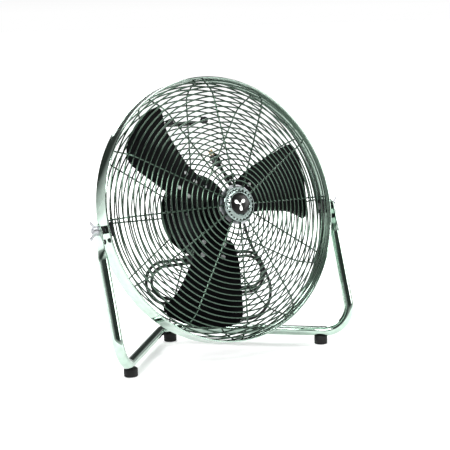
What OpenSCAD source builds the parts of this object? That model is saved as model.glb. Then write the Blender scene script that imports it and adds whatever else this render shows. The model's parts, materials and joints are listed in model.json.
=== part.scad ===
// High-velocity floor fan: a round caged head that tilts between the legs of one bent-tube stand.
// Millimetres, +Z up, the fan blows towards -Y, the origin is on the floor under the middle of its box.

/* [Head] */
// Outer radius of the rim band
rim_r = 330; // [310:1:400]
// Depth of the rim band along the fan's axis
rim_depth = 50; // [44:1:56]
// Thickness of the rim band's sheet
rim_sheet = 1.6; // [1:0.1:2.5]
// Radius of the rolled bead on each edge of the rim band
bead_r = 2.4; // [2:0.1:4]
// Angle that the head looks up by at rest, in degrees
rest_tilt = 13.5; // [0:0.5:30]

/* [Guards] */
// Diameter of the ring wires
wire_d = 3.6; // [2:0.1:4]
// Diameter of the rib wires
rib_d = 4; // [3:0.1:6]
// Number of ribs in each guard
rib_count = 12; // [8:1:16]
// Distance from one ring wire to the next, along a rib
ring_pitch = 13.5; // [11:0.5:20]
// Length of the front guard's sloping wall
front_wall = 33; // [26:1:40]
// Radius of the front guard's shoulder
front_shoulder_r = 60; // [30:1:80]
// Length of the rear guard's sloping wall
rear_wall = 35; // [28:1:45]
// Radius of the rear guard's shoulder
rear_shoulder_r = 45; // [30:1:60]
// Radius where the front ribs end on the hub plate
front_hub_r = 50; // [44:1:60]
// Outer radius of the motor's mounting plate
mount_plate_r = 105; // [100:1:120]

/* [Badge] */
// Outer radius of the chrome dish in the middle of the front guard
badge_r = 43.5; // [36:0.5:46]
// Height of the dish
badge_h = 9; // [6:0.5:14]
// Radius of the black label in the dish
label_r = 26; // [20:0.5:30]

/* [Rotor] */
// Radius of the blade tips
blade_tip_r = 305; // [260:1:310]
// Thickness of the blade sheet
blade_sheet = 1.6; // [1:0.1:3]
// Pitch of the blades, in degrees
blade_pitch = 17; // [8:0.5:19]
// Radius of the blades' camber
camber_r = 500; // [400:10:900]
// Number of blades
blade_count = 3; // [3:1:3]
// Direction of the first blade, in degrees
blade_start = 15; // [0:1:120]
// Diameter of the motor shaft
shaft_d = 12.7; // [8:0.1:16]
// Radius of the blade hub
hub_r = 30; // [24:1:36]
// Length of the blade hub
hub_l = 28; // [20:1:34]

/* [Motor] */
// Outer radius of the motor shell
motor_r = 72; // [64:1:78]
// Thickness of the motor shell
motor_sheet = 2.4; // [1.5:0.1:4]
// Length of the motor shell between its bells
shell_l = 68; // [60:1:80]
// Depth of each end bell
bell_l = 14; // [10:1:20]
// Depth of the switch cover behind the rear bell
switch_l = 14; // [10:1:20]
// Radius of the switch cover
switch_r = 30; // [24:1:36]
// Radius of the speed knob
knob_r = 17; // [12:0.5:22]
// Height of the speed knob
knob_h = 15; // [10:0.5:20]

/* [Stand] */
// Diameter of the stand's tube
tube_d = 25.4; // [22:0.1:32]
// Wall of the stand's tube
tube_wall = 1.6; // [1:0.1:3]
// Gap between the rim band and the legs
leg_gap = 2.3; // [2:0.1:6]
// Height of the pivots above the middle of the floor tube
pivot_rise = 320; // [318:1:420]
// Distance of the pivots below the fan's axis
pivot_drop = 20; // [18:0.5:24]
// How far the front corners lie ahead of the pivots
corner_ahead = 95; // [60:1:160]
// How far the rear corner lies behind the pivots
corner_behind = 275; // [200:1:330]
// Radius of the tube's bends, at its middle line
bend_r = 62; // [50:1:80]
// Length of the flattened end of each leg
flat_l = 60; // [50:1:80]
// Width of the flattened end
flat_w = 34; // [28:1:40]
// Thickness of the flattened end
flat_t = 4; // [3:0.1:6]

/* [Feet] */
// Radius of the rubber feet
foot_r = 17; // [15:0.5:24]
// Height of the tube's underside above the floor
foot_h = 20.5; // [14:0.5:30]
// Distance of the front feet from the middle
foot_x = 286; // [240:1:300]

/* [Pivots] */
// Diameter of the pivot bolts
bolt_d = 10; // [8:0.5:12]
// Reach of a wing nut's wings from its axis
wing_reach = 25; // [18:1:34]

/* [Handle] */
// Height of the carry handle above the fan's axis; it settles in the nearest gap between two ring wires
handle_up = 234; // [225:0.5:235]
// Distance between the handle's legs
handle_w = 104; // [90:1:120]
// Distance of the grip behind the middle of the rim band
handle_back = 122; // [116:1:140]
// Diameter of the grip
grip_d = 12; // [10:0.5:20]

/* [Cord] */
// Diameter of the power cord
cord_d = 8; // [6:0.5:8.2]

/* [Clearances] */
// Radial clearance of a running fit
run_clear = 0.05; // [0.02:0.01:0.1]
// Gap between pieces that are fixed to each other
seat_clear = 0.05; // [0.02:0.01:0.2]
// Gap between pieces that move past each other
move_gap = 0.5; // [0.3:0.1:2]

/* [Hidden] */
$fn = 64;

wire_r = wire_d / 2;
rib_r = rib_d / 2;
tube_r = tube_d / 2;
bolt_r = bolt_d / 2;
shaft_r = shaft_d / 2;
cord_r = cord_d / 2;

// The stand's corners, on the tube's middle line, measured from the point midway between the pivots.
leg_x = rim_r + leg_gap + tube_r;
pivot_h = foot_h + tube_r + pivot_rise;

// Each guard is [wall angle, dome angle, wall length, shoulder radius, inner radius].
guard_start_r = rim_r - rim_sheet - rib_r - seat_clear;
guard_start_z = rim_depth / 2 - 10;
front_guard = [45, 82, front_wall, front_shoulder_r, front_hub_r];
rear_guard = [25, 81, rear_wall, rear_shoulder_r, mount_plate_r];
first_ring = 14;
wire_lift = rib_r + wire_r + seat_clear / 2;

function wall_end(g) = [guard_start_r - g[2] * sin(g[0]), guard_start_z + g[2] * cos(g[0])];
function shoulder_centre(g) = wall_end(g) - g[3] * [cos(g[0]), sin(g[0])];
function dome_start(g) = shoulder_centre(g) + g[3] * [cos(g[1]), sin(g[1])];
function shoulder_l(g) = g[3] * (g[1] - g[0]) * PI / 180;
function dome_l(g) = (dome_start(g)[0] - g[4]) / sin(g[1]);
function dome_z(g, r) = dome_start(g)[1] + (dome_start(g)[0] - r) / tan(g[1]);
// Middle line of a rib at the distance s from the rim: [radius, depth, normal's angle].
function on_rib(g, s) =
  s <= g[2] ? [guard_start_r - s * sin(g[0]), guard_start_z + s * cos(g[0]), g[0]]
  : s <= g[2] + shoulder_l(g)
    ? let (a = g[0] + (s - g[2]) / g[3] * 180 / PI)
      [shoulder_centre(g)[0] + g[3] * cos(a), shoulder_centre(g)[1] + g[3] * sin(a), a]
    : let (d = s - g[2] - shoulder_l(g))
      [dome_start(g)[0] - d * sin(g[1]), dome_start(g)[1] + d * cos(g[1]), g[1]];
// Ring wires' radii, the gap between two of them nearest to a radius, and the depth of a ring's middle at a radius.
function ring_r(g, i) = let (p = on_rib(g, first_ring + i * ring_pitch)) p[0] + wire_lift * cos(p[2]);
function gap_r(g, r) =
  let (gaps = [for (i = [0 : ring_count(g) - 1]) (ring_r(g, i) + ring_r(g, i + 1)) / 2],
       off = [for (gap = gaps) abs(gap - r)])
  gaps[search(min(off), off)[0]];
function ring_z(g, r) = dome_z(g, r - wire_lift * cos(g[1])) + wire_lift * sin(g[1]);
function ring_count(g) = floor((g[2] + shoulder_l(g) + dome_l(g) - first_ring) / ring_pitch);

// The head's reach ahead of the pivots and the stand's reach behind them place the pivots over the origin.
front_centre = shoulder_centre(front_guard);
front_reach = front_centre[0] * sin(rest_tilt) + front_centre[1] * cos(rest_tilt)
  + front_shoulder_r + wire_lift + wire_r - pivot_drop * sin(rest_tilt);
rear_turn = atan2(leg_x, corner_ahead + corner_behind);
rear_reach = corner_behind - bend_r * (1 / sin(rear_turn) - 1) + max(tube_r, foot_r);
pivot_y = (front_reach - rear_reach) / 2;

left_pivot = [-leg_x, pivot_y, pivot_h];
right_pivot = [leg_x, pivot_y, pivot_h];
left_corner = [-leg_x, pivot_y - corner_ahead, foot_h + tube_r];
right_corner = [leg_x, pivot_y - corner_ahead, foot_h + tube_r];
rear_corner = [0, pivot_y + corner_behind, foot_h + tube_r];
foot_y = left_corner[1] + (leg_x - foot_x) * (corner_ahead + corner_behind) / leg_x;
press_l = 30;
rear_foot_y = rear_corner[1] - bend_r * (1 / sin(rear_turn) - 1);
leg_lean = atan2(corner_ahead, pivot_rise);

// Depths along the fan's axis, from the middle of the rim band; the front is positive.
hub_plate_t = 1.5;
hub_plate_z = dome_z(front_guard, front_hub_r) - rib_r - seat_clear;
front_rib_end = front_hub_r - 12;
badge_z = dome_z(front_guard, front_rib_end) + rib_r / sin(front_guard[1]) + seat_clear;
rear_rib_end = mount_plate_r - 10;
mount_plate_t = 1.6;
mount_plate_z = -(dome_z(rear_guard, rear_rib_end) + rib_r / sin(rear_guard[1]) + seat_clear);
rotor_z = -8;
shell_front = -60;
shell_rear = shell_front - shell_l;
bell_front = shell_front + bell_l;
bell_rear = shell_rear - bell_l;
switch_rear = bell_rear - switch_l;
core_front = shell_front - 15;
core_rear = shell_rear + 16;
stator_band = 32;
core_bore = motor_r - stator_band;
air_gap = 0.6;
bearing_r = 16;
bearing_l = 10;
shaft_front = rotor_z + hub_l / 2 + 4;
shaft_rear = bell_rear + 3;
flange_r = motor_r + 18;
flange_t = 2.5;
screw_circle = motor_r + 10;

// A vector's length and unit, and a point moved along a line.
function unit(v) = v / norm(v);

// The tilting head's frame at the pivots, and the same frame moved up to the fan's axis.
module in_tilt() {
  translate([0, pivot_y, pivot_h]) rotate([90 - rest_tilt, 0, 0]) children();
}

module in_head() {
  in_tilt() translate([0, pivot_drop, 0]) children();
}

module facing_side(side) {
  rotate([0, 90 * side, 0]) children();
}

module tube(a, b, outer, inner) {
  d = b - a;
  translate(a) rotate([0, acos(d[2] / norm(d)), atan2(d[1], d[0])]) difference() {
    cylinder(r = outer, h = norm(d));
    if (inner > 0) translate([0, 0, -1]) cylinder(r = inner, h = norm(d) + 2);
  }
}

// Each straight reaches [this far, and this much thinner] into the bend beside it, so that the two join cleanly.
wire_lap = [1, 0.02];
stand_lap = [3, 0.2];
// Round stock that runs along +Z from the origin and then turns towards +X, once for each entry in turns.
module bent_run(lengths, turns, rolls, radius, outer, inner, lap, i = 0) {
  low = i > 0 ? -lap[0] : 0;
  high = lengths[i] + (i < len(turns) ? lap[0] : 0);
  translate([0, 0, low]) difference() {
    cylinder(r = outer - lap[1], h = high - low);
    if (inner > 0) translate([0, 0, -1]) cylinder(r = inner + lap[1], h = high - low + 2);
  }
  if (i < len(turns)) translate([radius, 0, lengths[i]]) {
    rotate([90, 0, 180]) rotate_extrude(angle = turns[i]) translate([radius, 0]) difference() {
      circle(r = outer);
      if (inner > 0) circle(r = inner);
    }
    rotate([0, turns[i], 0]) translate([-radius, 0, 0]) rotate([0, 0, rolls[i]])
      bent_run(lengths, turns, rolls, radius, outer, inner, lap, i + 1);
  }
}

// Stand: one tube, bent at three corners, with both ends flattened and drilled for the pivots.
module leg_end(side) {
  drop = flat_l - flat_w / 2;
  translate([side * leg_x, pivot_y, pivot_h]) rotate([-leg_lean, 0, 0]) difference() {
    union() {
      facing_side(1) cylinder(r = flat_w / 2, h = flat_t, center = true);
      translate([-flat_t / 2, -flat_w / 2, -drop - 1]) cube([flat_t, flat_w, drop + 1]);
      translate([0, 0, -drop - press_l]) intersection() {
        cylinder(r1 = tube_r - 0.3, r2 = flat_w / 2 - 0.2, h = press_l);
        rotate([90, 0, 0]) linear_extrude(height = flat_w + 2, center = true)
          polygon([[-tube_r, -1], [tube_r, -1], [flat_t / 2 - 0.1, press_l], [-flat_t / 2 + 0.1, press_l]]);
      }
    }
    facing_side(1) cylinder(r = bolt_r + run_clear, h = flat_t + 4, center = true);
  }
}

module stand_run(points, outer, inner) {
  last = len(points) - 2;
  d = [for (i = [0 : last]) unit(points[i + 1] - points[i])];
  turn = [for (i = [0 : last - 1]) acos(d[i] * d[i + 1])];
  into = [for (i = [0 : last - 1]) unit(d[i + 1] - d[i] * (d[i] * d[i + 1]))];
  out = [for (i = [0 : last - 1]) into[i] * cos(turn[i]) - d[i] * sin(turn[i])];
  roll = [for (i = [0 : last - 1]) i == last - 1 ? 0
    : atan2(cross(out[i], into[i + 1]) * d[i + 1], out[i] * into[i + 1])];
  trim = [for (i = [0 : last + 1]) i == 0 || i > last ? 0 : bend_r * tan(turn[i - 1] / 2)];
  length = [for (i = [0 : last]) norm(points[i + 1] - points[i]) - trim[i] - trim[i + 1]];
  across = cross(d[0], into[0]);
  multmatrix([for (k = [0 : 2]) [into[0][k], across[k], d[0][k], points[0][k]]])
    bent_run(length, turn, roll, bend_r, outer, inner, stand_lap);
}

module frame_tube() {
  leg_top = flat_l - flat_w / 2 + press_l - 1;
  left_top = left_pivot + unit(left_corner - left_pivot) * leg_top;
  right_top = right_pivot + unit(right_corner - right_pivot) * leg_top;
  color("lightgray") {
    leg_end(-1);
    leg_end(1);
    stand_run([left_top, left_corner, rear_corner, right_corner, right_top], tube_r, tube_r - tube_wall);
  }
}

module foot(x, y) {
  difference() {
    translate([x, y, 0]) union() {
      cylinder(r1 = foot_r - 1, r2 = foot_r, h = 2);
      translate([0, 0, 2]) cylinder(r = foot_r, h = foot_h + 1);
    }
    children();
    translate([x, y, foot_h - 8]) cylinder(r = 2 + seat_clear, h = 20);
  }
}

module front_foot(side) {
  color("#1a1a1a") foot(side * foot_x, foot_y)
    tube([side * leg_x, left_corner[1], foot_h + tube_r], rear_corner, tube_r + seat_clear, 0);
}

module foot_front_left() front_foot(-1);
module foot_front_right() front_foot(1);

module foot_rear() {
  color("#1a1a1a") foot(0, rear_foot_y)
    stand_run([left_corner, rear_corner, right_corner], tube_r + seat_clear, 0);
}

// Headless studs moulded into the feet, up to the underside of the tube.
stud_l = 8;
module foot_screws() {
  color("silver") for (p = [[-foot_x, foot_y], [foot_x, foot_y], [0, rear_foot_y]])
    translate([p[0], p[1], foot_h - stud_l + seat_clear]) cylinder(r = 2, h = stud_l - 2 * seat_clear);
}

// Pivots, from the inside out: block, bolt, spacer, the leg's flat end and the wing nut.
spacer_in = rim_r + 1.4;
spacer_out = leg_x - flat_t / 2 - seat_clear;
module pivot_spacer(side) {
  color("#1a1a1a") translate([0, pivot_y, pivot_h]) facing_side(side)
    translate([0, 0, spacer_in]) difference() {
      cylinder(r = 10, h = spacer_out - spacer_in);
      translate([0, 0, -1]) cylinder(r = bolt_r + run_clear, h = spacer_out - spacer_in + 2);
    }
}
module pivot_spacer_left() pivot_spacer(-1);
module pivot_spacer_right() pivot_spacer(1);

module friction_pads() {
  color("#1a1a1a") for (side = [-1, 1])
    translate([0, pivot_y, pivot_h]) rotate([-leg_lean, 0, 0]) translate([0, 0, -28]) facing_side(side)
      translate([0, 0, spacer_in]) cylinder(r = 6, h = spacer_out - spacer_in);
}

// The block lies inside the rim, under the rib that ends beside it.
block_w = 2 * (pivot_drop - rib_r - 1);
block_t = 22;
block_in = blade_tip_r + 5;
block_out = sqrt(pow(rim_r - rim_sheet, 2) - pow(pivot_drop + block_w / 2, 2)) - 0.6;
bolt_head_r = bolt_r + 4;
module pivot_block(side) {
  color("#262626") in_tilt() facing_side(side) difference() {
    translate([-block_t / 2, -block_w / 2, block_in]) cube([block_t, block_w, block_out - block_in]);
    translate([0, 0, block_in - 1]) cylinder(r = bolt_r + seat_clear, h = block_out);
    translate([0, 0, block_in - 1]) cylinder(r = bolt_head_r + seat_clear, h = 8);
  }
}
module pivot_block_left() pivot_block(-1);
module pivot_block_right() pivot_block(1);

wing_in = leg_x + flat_t / 2 + move_gap;
wing_l = 13;
bolt_end = wing_in + wing_l + 3;
module pivot_bolt(side) {
  color("silver") in_tilt() facing_side(side) {
    translate([0, 0, block_in + 1]) cylinder(r = bolt_head_r, h = 6 - seat_clear);
    translate([0, 0, block_in + 1]) cylinder(r = bolt_r, h = bolt_end - block_in - 1);
  }
}
module pivot_bolt_left() pivot_bolt(-1);
module pivot_bolt_right() pivot_bolt(1);

module wing_nut(side) {
  color("silver") translate([0, pivot_y, pivot_h]) facing_side(side) translate([0, 0, wing_in]) difference() {
    union() {
      cylinder(r = 12, h = 2);
      cylinder(r1 = 10, r2 = 8, h = wing_l);
      rotate([90, 0, 0]) translate([0, 0, -2]) linear_extrude(height = 4)
        polygon([[-wing_reach, wing_l + 5], [-wing_reach + 8, wing_l + 7], [-7, wing_l - 2], [7, wing_l - 2],
          [wing_reach - 8, wing_l + 7], [wing_reach, wing_l + 5], [8, 2.5], [-8, 2.5]]);
    }
    translate([0, 0, -1]) cylinder(r = bolt_r + run_clear, h = wing_l + 20);
  }
}
module wing_nut_left() wing_nut(-1);
module wing_nut_right() wing_nut(1);

// Rim band: a flat hoop with a rolled bead on each edge, drilled for the pivot bolts.
module rim_band() {
  bead_z = rim_depth / 2 - bead_r;
  color("gainsboro") in_head() difference() {
    rotate([0, 0, 45]) rotate_extrude() {
      translate([rim_r - rim_sheet, -bead_z]) square([rim_sheet, 2 * bead_z]);
      for (z = [-bead_z, bead_z]) translate([rim_r - 1.8, z]) circle(r = bead_r);
    }
    for (side = [-1, 1]) translate([0, -pivot_drop, 0]) facing_side(side) translate([0, 0, rim_r - 10])
      cylinder(r = bolt_r + seat_clear, h = 16);
  }
}

// Guards: ring wires welded to the outside of the ribs.
module guard_rings(g) {
  for (i = [0 : ring_count(g)]) {
    p = on_rib(g, first_ring + i * ring_pitch);
    translate([0, 0, p[1] + wire_lift * sin(p[2])]) rotate_extrude()
      translate([p[0] + wire_lift * cos(p[2]), 0]) circle(r = wire_r);
  }
}

module rib(g, inner_end) {
  translate([guard_start_r, 0, guard_start_z]) rotate([0, -g[0], 0]) rotate([0, 0, 180])
    bent_run([g[2], (dome_start(g)[0] - inner_end) / sin(g[1])], [g[1] - g[0]], [0], g[3], rib_r, 0, wire_lap);
}

module guard_ribs(g, inner_end) {
  for (i = [0 : rib_count - 1]) rotate([0, 0, i * 360 / rib_count]) rib(g, inner_end);
}

module front_guard_rings() color("gainsboro") in_head() guard_rings(front_guard);
module front_guard_ribs() color("gainsboro") in_head() guard_ribs(front_guard, front_rib_end);
module rear_guard_rings() color("gainsboro") in_head() mirror([0, 0, 1]) guard_rings(rear_guard);
module rear_guard_ribs() color("gainsboro") in_head() mirror([0, 0, 1]) guard_ribs(rear_guard, rear_rib_end);

module front_hub_plate() {
  color("silver") in_head() translate([0, 0, hub_plate_z - hub_plate_t]) cylinder(r = front_hub_r - 1, h = hub_plate_t);
}

module badge_dish() {
  floor_z = badge_h - 2.5;
  color("gainsboro") in_head() translate([0, 0, badge_z]) rotate_extrude()
    polygon([[0, 0], [badge_r - 2, 0], [badge_r, 1.5], [badge_r, 3.5], [badge_r - 2.5, 5],
      [label_r + 5, badge_h], [label_r + 1, badge_h], [label_r + 0.5, floor_z], [0, floor_z]]);
}

module badge_label() {
  color("black") in_head() translate([0, 0, badge_z + badge_h - 2.5 + seat_clear])
    cylinder(r = label_r, h = 1.6);
}

// Motor: shell with a mounting flange, end bells, bearings, stator, capacitor and rear switch.
module motor_mount_plate() {
  color("gainsboro") in_head() translate([0, 0, mount_plate_z - mount_plate_t]) difference() {
    cylinder(r = mount_plate_r, h = mount_plate_t);
    translate([0, 0, -1]) cylinder(r = motor_r + 0.6, h = mount_plate_t + 2);
    mount_holes() translate([0, 0, -1]) cylinder(r = 2.5 + seat_clear, h = mount_plate_t + 2);
  }
}

module mount_holes() {
  for (a = [45 : 90 : 315]) rotate([0, 0, a]) translate([screw_circle, 0, 0]) children();
}

module mount_screws() {
  color("silver") in_head() mount_holes() {
    translate([0, 0, mount_plate_z - mount_plate_t - 3 - seat_clear]) cylinder(r = 4.5, h = 3);
    translate([0, 0, mount_plate_z - mount_plate_t - 1]) cylinder(r = 2.5, h = mount_plate_t + flange_t + 6);
    translate([0, 0, mount_plate_z + flange_t + 2 * seat_clear]) cylinder(r = 4.5, h = 3.5, $fn = 6);
  }
}

module motor_shell() {
  color("#2b2b2b") in_head() difference() {
    union() {
      translate([0, 0, shell_rear]) cylinder(r = motor_r, h = shell_l);
      translate([0, 0, mount_plate_z + seat_clear]) cylinder(r = flange_r, h = flange_t);
    }
    translate([0, 0, shell_rear - 1]) cylinder(r = motor_r - motor_sheet, h = shell_l + 2);
    mount_holes() translate([0, 0, mount_plate_z - 1]) cylinder(r = 2.5 + seat_clear, h = flange_t + 2);
  }
}

// Both bells are cups that close the shell, with a boss round the bearing.
module bell(out, bore) {
  difference() {
    union() {
      difference() {
        union() {
          cylinder(r = motor_r, h = out - 5);
          translate([0, 0, out - 5]) cylinder(r1 = motor_r, r2 = motor_r - 8, h = 5);
        }
        translate([0, 0, -1]) cylinder(r = motor_r - motor_sheet, h = out - 5);
      }
      translate([0, 0, out - bearing_l - 3]) cylinder(r = bearing_r + 4, h = bearing_l + 1);
    }
    translate([0, 0, out - bearing_l - 4]) cylinder(r = bearing_r + seat_clear, h = bearing_l + 1);
    translate([0, 0, -1]) cylinder(r = bore, h = out + 2);
  }
}

module motor_front_bell() {
  color("#2b2b2b") in_head() translate([0, 0, shell_front + seat_clear]) bell(bell_l, shaft_r + 1.5);
}

module motor_rear_bell() {
  color("#2b2b2b") in_head() difference() {
    translate([0, 0, shell_rear - seat_clear]) mirror([0, 0, 1]) bell(bell_l, shaft_r + 1.5);
    cord_exit() cylinder(r = 6 + seat_clear, h = 12, center = true);
  }
}

module bearing() {
  difference() {
    cylinder(r = bearing_r, h = bearing_l);
    translate([0, 0, -1]) cylinder(r = shaft_r + run_clear, h = bearing_l + 2);
  }
}

module front_bearing() {
  color("silver") in_head() translate([0, 0, bell_front - 3 - bearing_l - 2 * seat_clear]) bearing();
}

module rear_bearing() {
  color("silver") in_head() translate([0, 0, bell_rear + 3 + 2 * seat_clear]) bearing();
}

module stator_core() {
  color("#7a7a7a") in_head() translate([0, 0, core_rear]) difference() {
    cylinder(r = motor_r - motor_sheet - seat_clear, h = core_front - core_rear);
    translate([0, 0, -1]) cylinder(r = core_bore, h = core_front - core_rear + 2);
  }
}

module stator_windings() {
  color("#b5651d") in_head() for (z = [core_rear - 8 - seat_clear, core_front + seat_clear])
    translate([0, 0, z]) rotate_extrude() translate([core_bore + 4, 0]) square([18, 8]);
}

// Heads of the four long bolts that draw the two bells together, standing on the front bell.
module through_bolts() {
  color("silver") in_head() for (a = [0 : 90 : 270]) rotate([0, 0, a])
    translate([motor_r - 8, 0, bell_front + seat_clear]) cylinder(r = 4, h = 2.5);
}

module capacitor() {
  color("#3a3a3a") in_head() translate([0, flange_r - 14 + 16, mount_plate_z - mount_plate_t - seat_clear])
    mirror([0, 0, 1]) translate([-18, -10, 0]) cube([36, 14, 22]);
}

module switch_cover() {
  color("#1f1f1f") in_head() translate([0, 0, switch_rear]) difference() {
    cylinder(r = switch_r, h = switch_l - seat_clear);
    translate([0, 0, 2]) cylinder(r = switch_r - 2, h = switch_l);
    translate([0, 0, -1]) cylinder(r = 3 + run_clear + 0.2, h = 5);
  }
}

module switch_body() {
  color("#5a4632") in_head() translate([0, 0, switch_rear + 2 + seat_clear]) difference() {
    translate([-14, -14, 0]) cube([28, 28, 8]);
    translate([0, 0, -1]) cylinder(r = 3 + run_clear, h = 10);
  }
}

module speed_knob() {
  color("#101010") in_head() translate([0, 0, switch_rear - move_gap]) mirror([0, 0, 1]) {
    difference() {
      cylinder(r1 = knob_r, r2 = knob_r - 2, h = knob_h);
      for (side = [-1, 1]) translate([(side * 1.2 - 0.5) * knob_r, -knob_r, 5]) cube([knob_r, 2 * knob_r, knob_h]);
    }
    translate([0, 0, -move_gap - 9]) cylinder(r = 3, h = 9 + move_gap + 1);
  }
}

// Cord: out of the rear bell, behind a flat coil tied to the guard, round the right side and up to the plug.
relief_l = 24;
cord_exit_z = bell_rear + 7;
module cord_exit() {
  translate([0, -motor_r + 2, cord_exit_z]) rotate([90, 0, 0]) children();
}

module strain_relief() {
  color("#1a1a1a") in_head() cord_exit() {
    translate([0, 0, -4]) cylinder(r = 6, h = 8);
    translate([0, 0, 2.2]) cylinder(r = 9, h = 2);
    translate([0, 0, 3]) cylinder(r1 = 7.5, r2 = cord_r + 0.8, h = relief_l - 3);
  }
}

// Routes in the head's frame: X to the right, Y up and Z forward.
inlet_route = [[0, -94, -135], [0, -110, -136], [0, -130, -136], [3, -152, -136], [12, -174, -135.5],
  [28, -192, -134.5], [50, -203, -133.6], [76, -208, -133.2]];
lead_route = [[-48, -220.4, -120], [-24, -222, -120], [2, -230, -121], [30, -244, -122], [60, -262, -123],
  [92, -275, -124], [125, -280, -125], [156, -274, -126], [184, -258, -127], [204, -232, -129],
  [212, -200, -132], [206, -166, -134], [192, -134, -134], [175, -102, -130], [160, -68, -124],
  [150, -32, -118], [144, 5, -113], [137, 38, -110], [126, 64, -109], [115, 86, -111], [104, 107, -111]];
hank_centre = [15, -158];
hank_l = 370;
hank_w = 116;
hank_band = 16;
hank_z = -129;
hank_t = 18;
cord_sides = 8;

function blend(p, i, t) =
  let (a = p[max(i - 1, 0)], b = p[i], c = p[i + 1], d = p[min(i + 2, len(p) - 1)])
  0.5 * (2 * b + (c - a) * t + (2 * a - 5 * b + 4 * c - d) * t * t + (3 * b - a - 3 * c + d) * t * t * t);
function smooth_route(p, steps) =
  [for (i = [0 : len(p) - 2]) for (k = [0 : steps - 1]) blend(p, i, k / steps), p[len(p) - 1]];
function direction(q, i) = unit(q[min(i + 1, len(q) - 1)] - q[max(i - 1, 0)]);
function ring(c, d, r) =
  let (u = unit(cross(d, [0, 0, 1])), w = cross(d, u))
  [for (k = [0 : cord_sides - 1]) let (a = 360 * k / cord_sides) c + r * (cos(a) * u + sin(a) * w)];

module swept_cord(route, steps) {
  q = smooth_route(route, steps);
  n = len(q);
  m = cord_sides;
  points = [for (i = [0 : n - 1]) each ring(q[i], direction(q, i), cord_r)];
  sides = [for (i = [0 : n - 2]) for (k = [0 : m - 1])
    [i * m + k, i * m + (k + 1) % m, (i + 1) * m + (k + 1) % m, (i + 1) * m + k]];
  start = [for (k = [0 : m - 1]) m - 1 - k];
  finish = [for (k = [0 : m - 1]) (n - 1) * m + k];
  polyhedron(points = points, faces = concat([start], sides, [finish]), convexity = 6);
}

module cord_inlet() color("#141414") in_head() swept_cord(inlet_route, 1);
module cord_lead() color("#141414") in_head() swept_cord(lead_route, 2);

module stadium(l, w) {
  square([l - w, w], center = true);
  for (side = [-1, 1]) translate([side * (l - w) / 2, 0]) circle(r = w / 2);
}

module cord_hank() {
  color("#141414") in_head() translate([hank_centre[0], hank_centre[1], hank_z])
    linear_extrude(height = hank_t) difference() {
      stadium(hank_l, hank_w);
      stadium(hank_l - 2 * hank_band, hank_w - 2 * hank_band);
    }
}

// Clips: a closed loop round the cord, a stem through the gap between two ring wires and a hook in front of them.
clip_wall = 2.5;
clip_x = 35;
clip_l = 16;
stem_w = 4.4;
hook_t = 2.4;
half_gap = ring_pitch * sin(rear_guard[1]) / 2;
function hook_rear(r) = wire_r + 0.3 - ring_z(rear_guard, r);
module hank_clip(side) {
  hank_low = hank_centre[1] + hank_w / 2 - hank_band;
  body_front = mount_plate_z - mount_plate_t - 0.3;
  clip_r = gap_r(rear_guard, mount_plate_r + 15);
  stem_y = -sqrt(clip_r * clip_r - clip_x * clip_x) - stem_w / 2;
  hook_z = hook_rear(clip_r - half_gap);
  color("#202020") in_head() translate([side * clip_x - clip_l / 2, 0, 0]) rotate([90, 0, 90])
    linear_extrude(height = clip_l) {
      difference() {
        translate([hank_low - clip_wall, hank_z - clip_wall])
          square([hank_band + 2 * clip_wall, body_front - hank_z + clip_wall]);
        translate([hank_low - 0.3, hank_z - 0.3]) square([hank_band + 0.6, hank_t + 0.6]);
      }
      translate([stem_y, body_front - 0.5]) square([stem_w, hook_z + hook_t - body_front + 0.5]);
      translate([stem_y, hook_z]) square([2 * stem_w + 4, hook_t]);
    }
}
module cord_clip_left() hank_clip(-1);
module cord_clip_right() hank_clip(1);

module cord_clip_upper() {
  held = lead_route[len(lead_route) - 2];
  held_r = norm([held[0], held[1]]);
  loop_r = cord_r + 1.1;
  stem_r = gap_r(rear_guard, held_r);
  stem_z = held[2] + loop_r + 0.5;
  hook_z = hook_rear(stem_r + half_gap);
  color("#202020") in_head() rotate([0, 0, atan2(held[1], held[0])]) translate([0, 5, 0]) rotate([90, 0, 0])
    linear_extrude(height = 10) {
      translate([held_r, held[2]]) difference() {
        square(2 * loop_r + 3, center = true);
        circle(r = loop_r);
      }
      translate([stem_r - stem_w / 2, stem_z]) square([stem_w, hook_z + hook_t - stem_z]);
      translate([stem_r - 8, hook_z]) square([16, hook_t]);
    }
}

plug_dir = atan2(21, -11);
module at_plug() {
  in_head() translate(lead_route[len(lead_route) - 1]) rotate([0, 0, plug_dir]) rotate([0, 90, 0]) children();
}

module plug_body() {
  color("#141414") at_plug() {
    cylinder(r1 = cord_r + 0.8, r2 = cord_r + 1.6, h = 22);
    translate([-12, -5.8, 21]) cube([24, 11.6, 27]);
  }
}

module plug_blades() {
  color("goldenrod") at_plug() {
    for (x = [-6.35, 6.35]) translate([x - 3.2, -0.75, 48 + seat_clear]) cube([6.4, 1.5, 16]);
  }
}

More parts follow.
